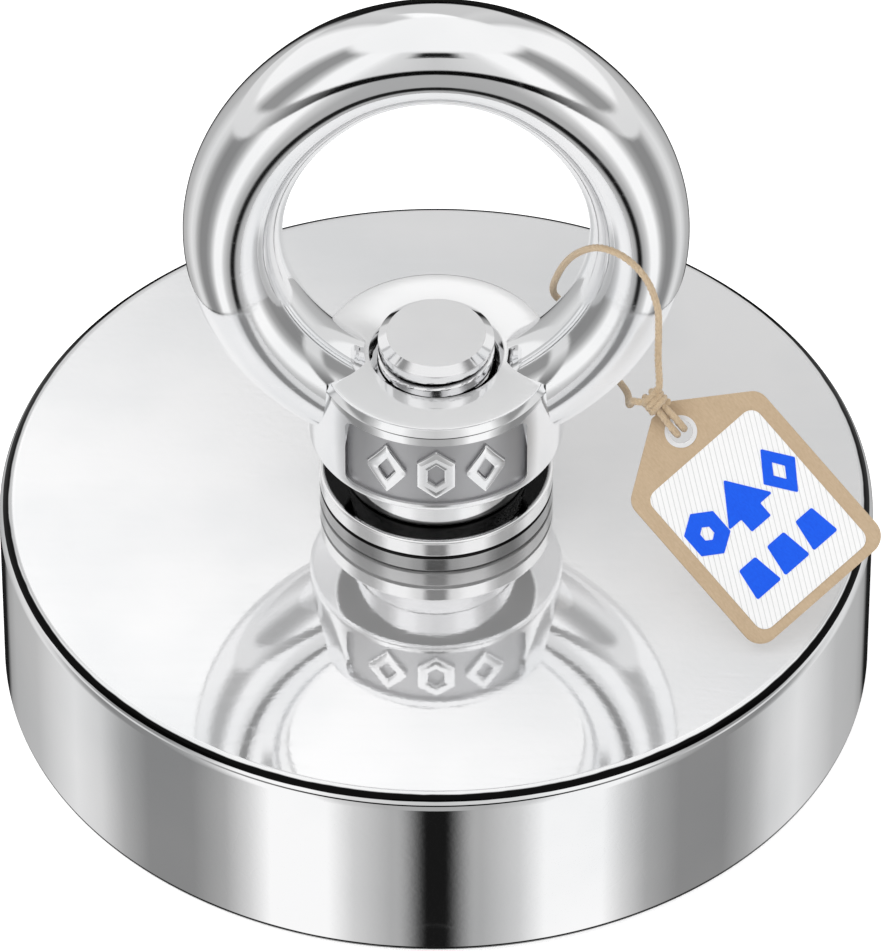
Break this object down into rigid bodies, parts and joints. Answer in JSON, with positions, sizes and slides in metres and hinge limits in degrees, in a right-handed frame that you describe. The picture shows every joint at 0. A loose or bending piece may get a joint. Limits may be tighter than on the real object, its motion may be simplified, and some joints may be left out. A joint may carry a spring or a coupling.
{
  "type": "magnet fishing magnet",
  "caption": "Round single-sided pot magnet with a ring magnet potted in a plated steel cup, a screwed lifting eye on its back and a card tag on twine.",
  "frame": {"origin": "centre of the working face, in the plane of the pot's open rim", "axes": "+Z out of the pot's back along the screw and towards the eye; X lies in the plane of the eye, with the tag on the +X side; -Y is the front, with the panel"},
  "size_m": [0.06, 0.06, 0.0576],
  "materials": {
    "pot_plating": "bright nickel over steel, mirror",
    "glue": "thin cured epoxy",
    "magnet_plating": "satin nickel plating",
    "resin": "black potting resin",
    "screw_steel": "turned stainless steel",
    "washer_steel": "polished stainless steel",
    "eye_plating": "polished forged stainless steel",
    "twine": "thin twisted cotton twine",
    "card": "kraft card",
    "label": "white printed paper",
    "eyelet": "small pressed ring"
  },
  "bodies": {
    "screw": {"countersunk_screw": "screw_steel"},
    "pot": {"steel_pot": "pot_plating", "magnet_glue": "glue", "ring_magnet": "magnet_plating", "outer_resin_ring": "resin", "inner_resin_ring": "resin"},
    "lower_washer": {"lower_washer": "washer_steel"},
    "upper_washer": {"upper_washer": "washer_steel"},
    "eye": {"eye_nut": "eye_plating"},
    "twine": {"twine_loop": "twine", "twine_knot": "twine"},
    "tag": {"tag_card": "card", "tag_label": "label", "tag_eyelet": "eyelet"}
  },
  "joints": [
    {"name": "pot_turn", "type": "hinge", "parent": "screw", "child": "pot", "pos_m": [0, 0, 0.0092], "axis": [0, 0, 1], "continuous": true},
    {"name": "lower_washer_spin", "type": "hinge", "parent": "screw", "child": "lower_washer", "pos_m": [0, 0, 0.0144], "axis": [0, 0, 1], "continuous": true},
    {"name": "eye_unscrew", "type": "hinge", "parent": "screw", "child": "upper_washer", "pos_m": [0, 0, 0.0172], "axis": [0, 0, 1], "range_deg": [0, 3600]},
    {"name": "eye_rise", "type": "slide", "parent": "upper_washer", "child": "eye", "axis": [0, 0, 1], "range_m": [0, 0.0126]},
    {"name": "loop_slide", "type": "hinge", "parent": "eye", "child": "twine", "pos_m": [-0.003, 0, 0.03844], "axis": [0, -1, 0], "range_deg": [0, 30]},
    {"name": "tag_flap", "type": "hinge", "parent": "twine", "child": "tag", "pos_m": [0.01584, -0.00555, 0.02628], "axis": [-0.7524, -0.4492, -0.4817], "range_deg": [0, 25]}
  ],
  "couplings": [
    {"joint": "eye_rise", "follows": "eye_unscrew", "m_per_rad": 0.00019894}
  ]
}
